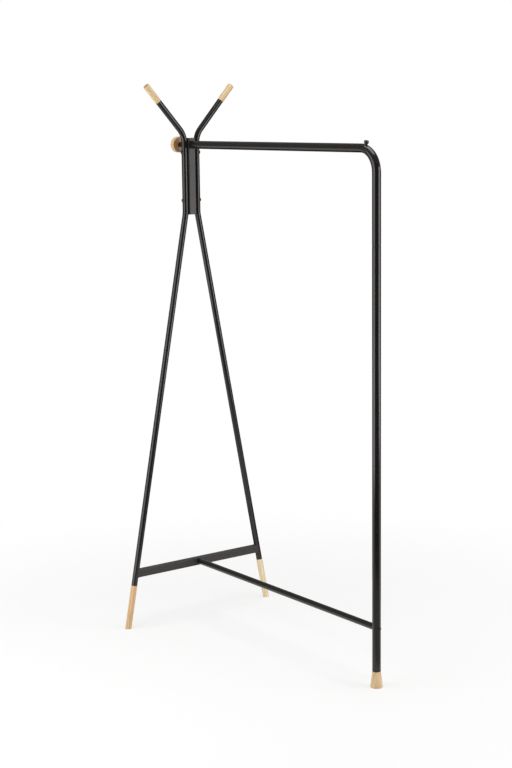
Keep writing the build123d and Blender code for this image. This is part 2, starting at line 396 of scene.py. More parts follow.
@dataclass
class NodeTool:
    """A Geometry Nodes tree with named inputs, run on an object and turned into a plain mesh."""

    name: str
    tree: NodeTree = field(init=False)
    start: Node = field(init=False)

    def __post_init__(self) -> None:
        """Starts the tree with its geometry sockets and the finish."""
        self.tree = bpy.data.node_groups.new(self.name, "GeometryNodeTree")
        self.tree.interface.new_socket("Geometry", in_out="OUTPUT", socket_type="NodeSocketGeometry")
        self.start = add_node(self.tree, "NodeGroupInput")
        self.add_input("Geometry", "NodeSocketGeometry")
        self.add_input("Finish", "NodeSocketMaterial")

    def add_input(self, name: str, kind: str = "NodeSocketFloat") -> NodeSocket:
        """Adds a named input and returns its socket on the group's input node."""
        self.tree.interface.new_socket(name, in_out="INPUT", socket_type=kind)
        return self.start.outputs[name]

    def end(self, geometry: Node, sharp_angle: float) -> None:
        """Ends the tree: smooth faces, sharp creases, real geometry and the finish.

        Args:
            geometry: the node with the made geometry.
            sharp_angle: edges that turn more than this many degrees stay sharp.
        """
        real = add_node(self.tree, "GeometryNodeRealizeInstances", {0: geometry})
        smooth = add_node(self.tree, "GeometryNodeSetShadeSmooth", {0: real, "Shade Smooth": True},
                          domain="FACE")
        angle = add_node(self.tree, "GeometryNodeInputMeshEdgeAngle").outputs["Unsigned Angle"]
        crease = add_node(self.tree, "FunctionNodeCompare", {0: angle, 1: math.radians(sharp_angle)},
                          data_type="FLOAT", operation="GREATER_THAN")
        sharp = add_node(self.tree, "GeometryNodeSetShadeSmooth",
                         {0: smooth, "Selection": crease, "Shade Smooth": False}, domain="EDGE")
        finish = add_node(self.tree, "GeometryNodeSetMaterial",
                          {0: sharp, "Material": self.start.outputs["Finish"]})
        add_node(self.tree, "NodeGroupOutput", {0: finish})

    def run(self, piece: Object, values: dict) -> Object:
        """Runs the tree on a piece and keeps the result as its mesh.

        Args:
            piece: the object whose mesh feeds the tree.
            values: a value for each named input.

        Returns:
            The same object with a plain mesh and no modifier.
        """
        modifier = piece.modifiers.new(self.name, "NODES")
        modifier.node_group = self.tree
        for socket in self.tree.interface.items_tree:
            if socket.in_out == "INPUT" and socket.name in values:
                modifier[socket.identifier] = values[socket.name]
        keep_result(piece, modifier)
        return piece


def tube_tool() -> NodeTool:
    """Tree that draws a round tube along a line, narrowed where the line's points say so.

    Returns:
        The tool, with inputs Radius in metres and Around, the number of sides.
    """
    tool = NodeTool("round_tube_along_line")
    radius = tool.add_input("Radius")
    around = tool.add_input("Around", "NodeSocketInt")
    tree = tool.tree
    line = add_node(tree, "GeometryNodeMeshToCurve", {0: tool.start.outputs["Geometry"]})
    share = add_node(tree, "GeometryNodeInputNamedAttribute", {"Name": "width_share"}, data_type="FLOAT")
    section = add_node(tree, "GeometryNodeCurvePrimitiveCircle", {"Resolution": around, "Radius": radius})
    skin = add_node(tree, "GeometryNodeCurveToMesh", {0: line, 1: section, "Scale": share, "Fill Caps": True})
    tool.end(skin, TUBE_CREASE)
    return tool


def screw_tool() -> NodeTool:
    """Tree that sets a screw with a domed head and a hexagon socket on every point, facing the way it points.

    Returns:
        The tool, with inputs for the head's, the socket's and the shank's sizes in metres.
    """
    # A power above two domes the head flatter than a ball, and its top face lies at half the wall.
    dome_power, near_top = 2.6, 0.4
    tool = NodeTool("domed_socket_screws")
    radius, wall, dome, key, depth, shank_radius, shank_length = [tool.add_input(size) for size in (
        "Head radius", "Head wall", "Dome height", "Socket radius", "Socket depth", "Shank radius",
        "Shank length")]
    tree = tool.tree
    disc = add_node(tree, "GeometryNodeMeshCylinder",
                    {"Vertices": 48, "Side Segments": 2, "Fill Segments": 10, "Radius": radius,
                     "Depth": wall}, fill_type="TRIANGLE_FAN")
    place = add_node(tree, "GeometryNodeInputPosition")
    flat = add_node(tree, "ShaderNodeVectorMath", {0: place, 1: (1.0, 1.0, 0.0)}, operation="MULTIPLY")
    out = add_node(tree, "ShaderNodeVectorMath", {0: flat}, operation="LENGTH")
    share = add_node(tree, "ShaderNodeMath", {0: out, 1: radius}, operation="DIVIDE")
    curve = add_node(tree, "ShaderNodeMath", {0: share, 1: dome_power}, operation="POWER")
    fall = add_node(tree, "ShaderNodeMath", {0: 1.0, 1: curve}, operation="SUBTRACT")
    lift = add_node(tree, "ShaderNodeMath", {0: fall, 1: dome}, operation="MULTIPLY")
    height = add_node(tree, "ShaderNodeSeparateXYZ", {0: place}).outputs["Z"]
    level = add_node(tree, "ShaderNodeMath", {0: height, 1: wall}, operation="DIVIDE")
    upper = add_node(tree, "FunctionNodeCompare", {0: level, 1: near_top}, data_type="FLOAT",
                     operation="GREATER_THAN")
    offset = add_node(tree, "ShaderNodeCombineXYZ", {"Z": lift})
    domed = add_node(tree, "GeometryNodeSetPosition", {0: disc, "Selection": upper, "Offset": offset})
    seated = add_node(tree, "ShaderNodeMath", {0: wall, 1: 0.5}, operation="MULTIPLY")
    rise = add_node(tree, "ShaderNodeCombineXYZ", {"Z": seated})
    head = add_node(tree, "GeometryNodeTransform", {0: domed, "Translation": rise})
    full = add_node(tree, "ShaderNodeMath", {0: wall, 1: dome}, operation="ADD")
    key_rise = add_node(tree, "ShaderNodeCombineXYZ", {"Z": full})
    long_key = add_node(tree, "ShaderNodeMath", {0: depth, 1: 2.0}, operation="MULTIPLY")
    prism = add_node(tree, "GeometryNodeMeshCylinder", {"Vertices": 6, "Radius": key, "Depth": long_key})
    cutter = add_node(tree, "GeometryNodeTransform", {0: prism, "Translation": key_rise})
    socketed = add_node(tree, "GeometryNodeMeshBoolean", {0: head, 1: cutter}, operation="DIFFERENCE",
                        solver="EXACT")
    rod = add_node(tree, "GeometryNodeMeshCylinder",
                   {"Vertices": 32, "Radius": shank_radius, "Depth": shank_length})
    half_down = add_node(tree, "ShaderNodeMath", {0: shank_length, 1: -0.5}, operation="MULTIPLY")
    drop = add_node(tree, "ShaderNodeCombineXYZ", {"Z": half_down})
    shank = add_node(tree, "GeometryNodeTransform", {0: rod, "Translation": drop})
    screw = add_node(tree, "GeometryNodeJoinGeometry", {0: [socketed, shank]})
    facing = add_node(tree, "GeometryNodeInputNamedAttribute", {"Name": "facing"}, data_type="FLOAT_VECTOR")
    turn = add_node(tree, "FunctionNodeAlignRotationToVector", {"Vector": facing}, axis="Z")
    screws = add_node(tree, "GeometryNodeInstanceOnPoints",
                      {"Points": tool.start.outputs["Geometry"], "Instance": screw, "Rotation": turn})
    tool.end(screws, SCREW_CREASE)
    return tool


def thread_tool() -> NodeTool:
    """Tree that winds a screw thread with a 60 degree section on the piece that it runs on.

    Returns:
        The tool, with inputs for the thread's start and way, its size in metres and its number of turns.
    """
    tool = NodeTool("screw_thread")
    start, facing = [tool.add_input(name, "NodeSocketVector") for name in ("Start", "Facing")]
    crest, pitch, turns = [tool.add_input(name) for name in ("Crest radius", "Pitch", "Turns")]
    tree = tool.tree
    rise = add_node(tree, "ShaderNodeMath", {0: pitch, 1: turns}, operation="MULTIPLY")
    reach = add_node(tree, "ShaderNodeMath", {0: pitch, 1: math.sqrt(3)}, operation="DIVIDE")
    middle = add_node(tree, "ShaderNodeMath", {0: crest, 1: reach}, operation="SUBTRACT")
    helix = add_node(tree, "GeometryNodeCurveSpiral",
                     {"Resolution": 48, "Rotations": turns, "Start Radius": middle, "End Radius": middle,
                      "Height": rise})
    steady = add_node(tree, "GeometryNodeSetCurveNormal", {0: helix}, mode="Z_UP")
    section = add_node(tree, "GeometryNodeCurvePrimitiveCircle", {"Resolution": 3, "Radius": reach})
    crest_out = add_node(tree, "GeometryNodeTransform", {0: section, "Rotation": (0.0, 0.0, math.pi)})
    ridge = add_node(tree, "GeometryNodeCurveToMesh", {0: steady, 1: crest_out, "Fill Caps": True})
    turn = add_node(tree, "FunctionNodeAlignRotationToVector", {"Vector": facing}, axis="Z")
    placed = add_node(tree, "GeometryNodeTransform", {0: ridge, "Translation": start, "Rotation": turn})
    both = add_node(tree, "GeometryNodeJoinGeometry", {0: [tool.start.outputs["Geometry"], placed]})
    tool.end(both, TURNED_CREASE)
    return tool


def bent_line(corners: Sequence[Vector], bend_radius: float, steps: int) -> list[Vector]:
    """Rounds the inner corners of a line with tangent arcs.

    Args:
        corners: the line's ends and corners in metres.
        bend_radius: radius of each arc in metres.
        steps: chords in each arc.

    Returns:
        The points of the rounded line.
    """
    points = [corners[0]]
    for before, corner, after in zip(corners, corners[1:], corners[2:]):
        back = (before - corner).normalized()
        ahead = (after - corner).normalized()
        half = back.angle(ahead) / 2
        centre = corner + (back + ahead).normalized() * (bend_radius / math.sin(half))
        first = corner + back * (bend_radius / math.tan(half)) - centre
        last = corner + ahead * (bend_radius / math.tan(half)) - centre
        turn = first.rotation_difference(last)
        points += [centre + Quaternion(turn.axis, turn.angle * i / steps) @ first for i in range(steps + 1)]
    return points + [corners[-1]]


def tube(tool: NodeTool, name: str, line: list[Vector], dia: float, edge_break: float,
         finish: Material) -> Object:
    """Draws a round tube along a line, with broken outer edges at both ends.

    Args:
        tool: the tube tree.
        name: the piece's name.
        line: centre line in metres.
        dia: outer diameter in millimetres.
        edge_break: bevel at the ends in millimetres, or nought.
        finish: the tube's material.

    Returns:
        The tube as a plain mesh.
    """
    shares = [1.0] * len(line)
    if edge_break:
        first = line[0] + (line[1] - line[0]).normalized() * edge_break * MM
        last = line[-1] + (line[-2] - line[-1]).normalized() * edge_break * MM
        line = [line[0], first, *line[1:-1], last, line[-1]]
        shares = [1 - 2 * edge_break / dia, 1.0, *shares[1:-1], 1.0, 1 - 2 * edge_break / dia]
    piece = placed_object(name, line, [(i, i + 1) for i in range(len(line) - 1)])
    piece.data.attributes.new("width_share", "FLOAT", "POINT").data.foreach_set("value", shares)
    return tool.run(piece, {"Finish": finish, "Radius": dia / 2 * MM, "Around": TUBE_SIDES})


def arc(centre: tuple[float, float], radius: float, start: float, stop: float,
        steps: int = 8) -> list[tuple[float, float]]:
    """Points of an arc in a turned outline.

    Args:
        centre: the arc's centre (radius, height).
        radius: the arc's own radius.
        start: first angle in degrees, nought pointing outwards and 90 along the axis.
        stop: last angle in degrees.
        steps: number of chords.

    Returns:
        The points (radius, height) in millimetres.
    """
    angles = [math.radians(start + (stop - start) * i / steps) for i in range(steps + 1)]
    return [(centre[0] + radius * math.cos(a), centre[1] + radius * math.sin(a)) for a in angles]


def turned(name: str, outline: Sequence[tuple[float, float]], origin: Vector, axis: Vector,
           finish: Material, floor_edge: float = 0.0) -> Object:
    """Turns an outline about an axis into a closed, smooth mesh.

    Args:
        name: the piece's name.
        outline: corners (radius, height) in millimetres, from the axis to the axis.
        origin: where the axis starts, in metres.
        axis: the way that heights run.
        finish: the piece's material.
        floor_edge: cuts the piece off level at the floor and rounds that edge by so many millimetres.

    Returns:
        The turned piece.
    """
    place = Matrix.Translation(origin) @ UP.rotation_difference(axis).to_matrix().to_4x4()
    shape = bmesh.new()
    rings = []
    for radius, height in outline:
        angles = [2 * math.pi * i / TURNED_SIDES for i in range(TURNED_SIDES if radius else 1)]
        points = [Vector((radius * math.cos(a), radius * math.sin(a), height)) * MM for a in angles]
        rings.append([shape.verts.new(place @ point) for point in points])
    for lower, upper in zip(rings, rings[1:]):
        for i in range(TURNED_SIDES):
            j = (i + 1) % TURNED_SIDES
            corners = [ring[k % len(ring)] for ring, k in ((lower, i), (lower, j), (upper, j), (upper, i))]
            shape.faces.new(list(dict.fromkeys(corners)))
    if floor_edge:
        bmesh.ops.bisect_plane(shape, geom=[*shape.verts, *shape.edges, *shape.faces], plane_co=(0, 0, 0),
                               plane_no=UP, clear_inner=True)
        rim = [edge for edge in shape.edges if edge.is_boundary]
        bmesh.ops.holes_fill(shape, edges=rim)
        bmesh.ops.bevel(shape, geom=rim, offset=floor_edge * MM, segments=3, profile=0.5, affect="EDGES")
    bmesh.ops.recalc_face_normals(shape, faces=shape.faces)
    piece = placed_object(name, [])
    shape.to_mesh(piece.data)
    shape.free()
    facing = [face.normal.dot(axis) for face in piece.data.polygons]
    piece.data.attributes.new("cut_across", "FLOAT", "FACE").data.foreach_set("value", facing)
    piece.data.polygons.foreach_set("use_smooth", [True] * len(piece.data.polygons))
    piece.data.set_sharp_from_angle(angle=math.radians(TURNED_CREASE))
    piece.data.materials.append(finish)
    return piece


def bored(piece: Object, mouth: Vector, inward: Vector, dia: float, depth: float) -> None:
    """Bores a blind hole into a piece.

    Args:
        piece: the piece, with its finish on.
        mouth: middle of the hole's mouth, in metres.
        inward: the way that the hole runs.
        dia: its diameter in millimetres.
        depth: its depth in millimetres.
    """
    radius, outside = dia / 2, -1.0
    outline = [(0.0, outside), (radius, outside), (radius, depth), (0.0, depth)]
    drill = turned("drill", outline, mouth, inward, piece.data.materials[0])
    cut = piece.modifiers.new("bore", "BOOLEAN")
    cut.operation, cut.solver, cut.object = "DIFFERENCE", "EXACT", drill
    keep_result(piece, cut)
    piece.data.set_sharp_from_angle(angle=math.radians(TUBE_CREASE))
    bpy.data.objects.remove(drill)


@dataclass
class EndFrame:
    """Two bent tubes, the channel between their waists, the low crossbar and four wooden ends."""

    black: Material
    flat_black: Material
    zinc: Material
    tubes: NodeTool
    tube_dia: float = 19.0
    tube_edge: float = 0.3
    foot_spacing: float = 552.0
    waist_spacing: float = 45.5
    waist_bend_above_channel: float = 4.5
    horn_bend_above_channel: float = 8.5
    horn_angle: float = 42.0
    horn_tube_length: float = 141.0
    bend_radius: float = 65.0
    bend_steps: int = 24
    wood_dia: float = 20.0
    wood_edge: float = 0.5
    foot_length: float = 141.0
    foot_heart: tuple[float, float] = (30.0, 22.0)
    foot_heart_shift: float = 6.0
    floor_edge: float = 1.2
    tip_length: float = 65.0
    tip_bevel: float = 1.2
    tip_heart: tuple[float, float] = (26.0, 14.0)
    tip_end_share: float = 0.65
    bar_corner: float = 2.5
    weld_dia: float = 2.4
    weld_sides: int = 14
    weld_ripple: float = 2.0
    weld_swell: float = 0.1
    points_per_ripple: int = 6

    def build(self) -> None:
        """Builds both sides and dresses the channel, its nuts and the crossbar."""
        self.build_side(Side.LEFT, BeechTone.HONEY, BeechTone.STRAW)
        # The right foot takes the palest set, so it renders lighter than the left foot.
        self.build_side(Side.RIGHT, BeechTone.PALEST, BeechTone.PALE)
        dressed("head_channel", self.flat_black)
        dressed("crossbar", self.flat_black)
        dressed("channel_nuts", self.zinc)

    def build_side(self, side: Side, foot_tone: BeechTone, tip_tone: BeechTone) -> None:
        """Builds one bent tube with its weld bead, wooden foot and horn tip.

        Args:
            side: which of the two it is.
            foot_tone: colours of the foot's wood.
            tip_tone: colours of the horn tip's wood.
        """
        name, sign = side.name.lower(), side.value
        channel_low, channel_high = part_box("head_channel")
        middle_x = centre_of("left_side_tube").x
        floor_point = Vector((middle_x, sign * self.foot_spacing / 2 * MM, 0.0))
        waist_y = sign * self.waist_spacing / 2 * MM
        waist = Vector((middle_x, waist_y, channel_low.z + self.waist_bend_above_channel * MM))
        horn = Vector((middle_x, waist_y, channel_high.z + self.horn_bend_above_channel * MM))
        up_leg = (waist - floor_point).normalized()
        lean = math.radians(self.horn_angle)
        up_horn = Vector((0.0, sign * math.sin(lean), math.cos(lean)))
        foot_joint = floor_point + up_leg * self.foot_length * MM
        tip_joint = horn + up_horn * self.horn_tube_length * MM
        self.build_weld(side, floor_point, up_leg)
        line = bent_line([foot_joint, waist, horn, tip_joint], self.bend_radius * MM, self.bend_steps)
        piece = tube(self.tubes, f"{name}_bent_tube", line, self.tube_dia, self.tube_edge, self.black)
        finished(piece, Body.STAND, Slot.BLACK, f"{name}_side_tube")
        radius = self.wood_dia / 2
        shoulder = [(0.0, 0.0), (radius - self.wood_edge, 0.0), (radius, self.wood_edge)]
        below_floor = self.foot_length + self.wood_dia
        heart = (self.foot_heart[0] + self.foot_heart_shift * sign, self.foot_heart[1])
        beech = TurnedBeech(f"lacquered_beech_{name}_foot", foot_joint, up_leg, heart, foot_tone)
        foot = turned(f"{name}_foot_turned", [*shoulder, (radius, below_floor), (0.0, below_floor)],
                      foot_joint, -up_leg, beech.material(), self.floor_edge)
        finished(foot, Body.STAND, Slot.WOOD, f"{name}_wood_foot")
        heart = (self.tip_heart[0], self.tip_heart[1] * sign)
        beech = TurnedBeech(f"lacquered_beech_{name}_tip", tip_joint, up_horn, heart, tip_tone,
                            end_share=self.tip_end_share)
        end = [(radius, self.tip_length - self.tip_bevel), (radius - self.tip_bevel, self.tip_length)]
        tip = turned(f"{name}_horn_tip_turned", [*shoulder, *end, (0.0, self.tip_length)],
                     tip_joint, up_horn, beech.material())
        finished(tip, Body.STAND, Slot.WOOD, f"{name}_horn_tip")

    def build_weld(self, side: Side, floor_point: Vector, up_leg: Vector) -> None:
        """Builds the rippled weld bead round the crossbar's end, where it meets the leg.

        Args:
            side: which of the two legs it is.
            floor_point: where the leg's axis meets the floor.
            up_leg: the way that the axis runs.
        """
        low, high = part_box("crossbar")
        middle = (low + high) / 2
        half_depth = (high.x - low.x) / 2 / MM - self.bar_corner
        half_face = (high.z - low.z) / 2 / MM - self.bar_corner
        outline = []
        for i, (across, up) in enumerate(((1, 1), (-1, 1), (-1, -1), (1, -1))):
            corner = (across * half_depth, up * half_face)
            outline += arc(corner, self.bar_corner, 90 * i, 90 * i + 90, steps=6)
        points, shares, run = [], [], 0.0
        for (x0, z0), (x1, z1) in zip(outline, outline[1:] + outline[:1]):
            length = math.dist((x0, z0), (x1, z1))
            count = max(1, round(length * self.points_per_ripple / self.weld_ripple))
            for i in range(count):
                x, z = x0 + (x1 - x0) * i / count, z0 + (z1 - z0) * i / count
                height = middle.z + z * MM
                inward = math.sqrt((self.tube_dia / 2) ** 2 - x ** 2) * MM
                y = floor_point.y + (height * up_leg.y - side.value * inward) / up_leg.z
                points.append(Vector((middle.x + x * MM, y, height)))
                along = run + length * i / count
                shares.append(1 + self.weld_swell * math.sin(2 * math.pi * along / self.weld_ripple))
            run += length
        edges = [(i, (i + 1) % len(points)) for i in range(len(points))]
        bead = placed_object(f"{side.name.lower()}_weld_bead", points, edges)
        bead.data.attributes.new("width_share", "FLOAT", "POINT").data.foreach_set("value", shares)
        self.tubes.run(bead, {"Finish": self.flat_black, "Radius": self.weld_dia / 2 * MM,
                              "Around": self.weld_sides})
        finished(bead, Body.STAND, Slot.BLACK)


@dataclass
class RailAndPost:
    """The hanging rail bent down into the post, the lower post, the hanger stop and the cone foot."""

    black: Material
    tubes: NodeTool
    dia: float = 25.0
    bend_radius: float = 65.0
    bend_steps: int = 32
    edge_break: float = 1.0
    screw_hole: tuple[float, float] = (8.8, 20.0)
    stop_angle: float = 15.5
    stop_root: float = 2.0
    stop_neck: tuple[float, float] = (9.6, 2.8)
    stop_head: tuple[float, float] = (13.5, 8.7)
    stop_flare: float = 0.4
    stop_edges: tuple[float, float] = (1.2, 2.6)
    cone_base: float = 36.0
    cone_land: float = 2.0
    cone_floor_edge: float = 1.0
    cone_bevel: float = 0.4
    cone_proud: float = 0.05
    cone_heart: tuple[float, float] = (31.0, -17.0)

    def build(self) -> None:
        """Builds the two tubes, the stop and the foot."""
        rail_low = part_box("rail_tube")[0]
        post_low, post_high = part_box("lower_post")
        post_x = centre_of("lower_post").x
        height = centre_of("peg_stem").z
        start, corner = Vector((rail_low.x, 0.0, height)), Vector((post_x, 0.0, height))
        line = bent_line([start, corner, Vector((post_x, 0.0, rail_low.z))], self.bend_radius * MM,
                         self.bend_steps)
        rail = tube(self.tubes, "rail_bent_tube", line, self.dia, self.edge_break, self.black)
        bored(rail, start, ALONG_RAIL, *self.screw_hole)
        finished(rail, Body.STAND, Slot.BLACK, "rail_tube")
        line = [Vector((post_x, 0.0, post_high.z)), Vector((post_x, 0.0, post_low.z))]
        post = tube(self.tubes, "post_straight_tube", line, self.dia, self.edge_break, self.black)
        finished(post, Body.STAND, Slot.BLACK, "lower_post")
        self.build_stop(corner)
        self.build_foot(Vector((post_x, 0.0, 0.0)), post_low.z / MM)

    def build_stop(self, corner: Vector) -> None:
        """Builds the turned hanger stop on the outside of the bend.

        Args:
            corner: where the rail's and the post's centre lines cross.
        """
        lean = math.radians(self.stop_angle)
        outward = Vector((math.sin(lean), 0.0, math.cos(lean)))
        centre = corner - Vector((1.0, 0.0, 1.0)) * self.bend_radius * MM
        seat = centre + outward * (self.bend_radius + self.dia / 2) * MM
        neck, head = self.stop_neck[0] / 2, self.stop_head[0] / 2
        collar, root = self.stop_neck[1], -self.stop_root
        top = collar + self.stop_head[1]
        under, over = self.stop_edges
        outline = [(0.0, root), (neck, root), (neck, collar - self.stop_flare),
                   *arc((head - under, collar + under), under, -90, 0, steps=6),
                   *arc((head - over, top - over), over, 0, 90), (0.0, top)]
        stop = turned("hanger_stop_turned", outline, seat, outward, self.black)
        finished(stop, Body.STAND, Slot.BLACK, "hanger_stop_stud")

    def build_foot(self, floor_point: Vector, height: float) -> None:
        """Builds the flared wooden foot.

        Args:
            floor_point: where the post's axis meets the floor.
            height: the foot's height in millimetres.
        """
        beech = TurnedBeech("lacquered_beech_cone_foot", floor_point, UP, self.cone_heart).material()
        base, top, edge = self.cone_base / 2, self.dia / 2, self.cone_floor_edge
        outline = [(0.0, 0.0), *arc((base - edge, edge), edge, -90, 0, steps=5), (base, self.cone_land),
                   (top + self.cone_proud, height - self.cone_bevel), (top - self.cone_bevel, height),
                   (0.0, height)]
        foot = turned("cone_foot_turned", outline, floor_point, UP, beech)
        finished(foot, Body.STAND, Slot.WOOD, "cone_foot")


@dataclass
class Stretcher:
    """The low tube from the crossbar to the post, and all the stand's screws."""

    black: Material
    tubes: NodeTool
    screws: NodeTool
    dia: float = 19.0
    post_dia: float = RailAndPost.dia
    end_from_post_axis: float = 7.5
    head_dia: float = 11.0
    head_wall: float = 1.6
    dome: float = 1.9
    key_flats: float = 4.0
    key_depth: float = 2.2
    shank: tuple[float, float] = (6.0, 27.5)
    channel_inset: float = 45.0

    def build(self) -> None:
        """Builds the stretcher's tube and every screw."""
        low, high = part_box("stretcher_tube")
        height = (low.z + high.z) / 2
        post_x = centre_of("lower_post").x
        line = [Vector((low.x, 0.0, height)), Vector((post_x - self.end_from_post_axis * MM, 0.0, height))]
        piece = tube(self.tubes, "stretcher_straight_tube", line, self.dia, 0.0, self.black)
        finished(piece, Body.STAND, Slot.BLACK, "stretcher_tube")
        self.build_screws(post_x, height)

    def build_screws(self, post_x: float, height: float) -> None:
        """Sets the six screws in their seats.

        Args:
            post_x: the post's axis in metres.
            height: the stretcher's height in metres.
        """
        channel_low, channel_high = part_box("head_channel")
        middle_x = centre_of("left_side_tube").x
        screw_low, screw_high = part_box("channel_screws")
        head = (self.head_wall + self.dome) * MM
        seats, facings = [], []
        for y, way in ((screw_low.y + head, -1.0), (screw_high.y - head, 1.0)):
            for z in (channel_low.z + self.channel_inset * MM, channel_high.z - self.channel_inset * MM):
                seats.append(Vector((middle_x, y, z)))
                facings.append(Vector((0.0, way, 0.0)))
        for x, way in ((post_x + self.post_dia / 2 * MM, ALONG_RAIL), (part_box("crossbar")[0].x, -ALONG_RAIL)):
            seats.append(Vector((x, 0.0, height)))
            facings.append(way)
        piece = placed_object("domed_socket_screws", seats)
        flat = [part for facing in facings for part in facing]
        piece.data.attributes.new("facing", "FLOAT_VECTOR", "POINT").data.foreach_set("vector", flat)
        self.screws.run(piece, {"Finish": self.black, "Head radius": self.head_dia / 2 * MM,
                                "Head wall": self.head_wall * MM, "Dome height": self.dome * MM,
                                "Socket radius": self.key_flats / math.sqrt(3) * MM,
                                "Socket depth": self.key_depth * MM, "Shank radius": self.shank[0] / 2 * MM,
                                "Shank length": self.shank[1] * MM})
        finished(piece, Body.STAND, Slot.BLACK, "channel_screws", "stretcher_post_bolt",
                 "stretcher_crossbar_bolt")


@dataclass
class Peg:
    """The hand screw behind the end frame: a black threaded stem and a turned wooden knob."""

    black: Material
    threads: NodeTool
    web: float = 2.0
    stem_dia: float = 16.0
    stem_edge: float = 0.4
    thread_dia: float = 7.8
    thread_core: float = 6.4
    thread_pitch: float = 1.25
    bare_turns: int = 2
    knob_gap: float = 0.1
    knob_dia: float = 50.0
    knob_thickness: float = 20.0
    knob_heart: tuple[float, float] = (12.0, 40.0)
    crown: float = 2.0
    edge_radius: float = 3.0

    def build(self) -> None:
        """Builds the stem and the knob on their own bodies."""
        seat = Vector((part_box("head_channel")[1].x - self.web * MM, 0.0, centre_of("peg_stem").z))
        inner = Vector((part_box("knob")[1].x, 0.0, seat.z))
        self.build_stem(seat, (seat.x - inner.x) / MM - self.knob_gap)
        self.build_knob(inner)

    def build_stem(self, seat: Vector, length: float) -> None:
        """Builds the stem with its threaded end, which reaches through the channel into the rail.

        Args:
            seat: where the stem's shoulder bears on the channel.
            length: from the shoulder to the knob in millimetres.
        """
        radius, edge, core = self.stem_dia / 2, self.stem_edge, self.thread_core / 2
        reach = (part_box("peg_stem")[1].x - seat.x) / MM
        outline = [(0.0, -reach), (core - edge, -reach), (core, edge - reach), (core, 0.0),
                   (radius - edge, 0.0), (radius, edge), (radius, length - edge), (radius - edge, length),
                   (0.0, length)]
        stem = turned("peg_stem_turned", outline, seat, -ALONG_RAIL, self.black)
        self.threads.run(stem, {"Finish": self.black, "Start": seat + ALONG_RAIL * self.thread_pitch * MM,
                                "Facing": ALONG_RAIL, "Crest radius": self.thread_dia / 2 * MM,
                                "Pitch": self.thread_pitch * MM,
                                "Turns": reach / self.thread_pitch - self.bare_turns})
        finished(stem, Body.STEM, Slot.BLACK, "peg_stem")

    def build_knob(self, inner: Vector) -> None:
        """Builds the crowned wooden knob.

        Args:
            inner: middle of the knob's inner face.
        """
        radius, edge, thickness = self.knob_dia / 2, self.edge_radius, self.knob_thickness
        sphere = (radius ** 2 + self.crown ** 2) / (2 * self.crown)
        lean = math.degrees(math.asin((radius - edge) / (sphere - edge)))
        edge_height = thickness - sphere + (sphere - edge) * math.cos(math.radians(lean))
        outline = [(0.0, 0.0), *arc((radius - edge, edge), edge, -90, 0),
                   *arc((radius - edge, edge_height), edge, 0, 90 - lean),
                   *arc((0.0, thickness - sphere), sphere, 90 - lean, 90)[1:-1], (0.0, thickness)]
        beech = TurnedBeech("lacquered_beech_knob", inner, ALONG_RAIL, self.knob_heart).material()
        knob = turned("knob_turned", outline, inner, -ALONG_RAIL, beech)
        finished(knob, Body.KNOB, Slot.WOOD, "knob")


@dataclass
class InnerHardware:
    """Plugs, sleeve, bolt and insert inside the tubes and the wood."""

    zinc: Material
    nodes: tuple[str, ...] = ("rail_end_plug", "post_joiner", "post_foot_plug", "foot_bolt",
                              "stretcher_front_plug", "stretcher_post_plug", "knob_insert")

    def build(self) -> None:
        """Dresses the CAD nodes as they are."""
        for node in self.nodes:
            dressed(node, self.zinc)


@dataclass(frozen=True)
class Softbox:
    """A rectangular studio lamp that faces a point and stays out of the picture."""

    name: str
    place: tuple[float, float, float]
    target: tuple[float, float, float]
    width: float
    height: float
    level: float

    def build(self) -> None:
        """Makes the lamp; level is its brightness next to a white surface at one."""
        lamp = bpy.data.lights.new(self.name, "AREA")
        lamp.shape = "RECTANGLE"
        lamp.size, lamp.size_y = self.width, self.height
        lamp.energy = self.level * math.pi * self.width * self.height
        holder = bpy.data.objects.new(self.name, lamp)
        bpy.context.scene.collection.objects.link(holder)
        holder.location = self.place
        holder.rotation_euler = (Vector(self.target) - Vector(self.place)).to_track_quat("-Z", "Y").to_euler()
        holder.visible_camera = False


@dataclass(frozen=True)
class Cloth:
    """A cloth hung in a curve round the stand, which shows only as a mirror image in the gloss.

    The outline's points are (radius, height), and the curve's ends and steps are degrees.
    """

    name: str
    colour: str
    outline: tuple[tuple[float, float], ...]
    turn: tuple[int, int]
    step: int = 8

    def build(self) -> None:
        """Makes the cloth, out of the picture and without a shadow."""
        material, tree = new_material(self.name)
        glow = add_node(tree, "ShaderNodeEmission", {"Color": linear(self.colour), "Strength": 1.0})
        add_node(tree, "ShaderNodeOutputMaterial", {"Surface": glow})
        turns = [math.radians(a) for a in range(self.turn[0], self.turn[1] + 1, self.step)]
        points = [(r * math.cos(a), r * math.sin(a), z) for r, z in self.outline for a in turns]
        count = len(turns)
        starts = [count * row + i for row in range(len(self.outline) - 1) for i in range(count - 1)]
        cloth = placed_object(self.name, points, (), [(i, i + 1, count + i + 1, count + i) for i in starts])
        cloth.data.materials.append(material)
        for rays in ("visible_camera", "visible_diffuse", "visible_shadow", "visible_transmission"):
            setattr(cloth, rays, False)


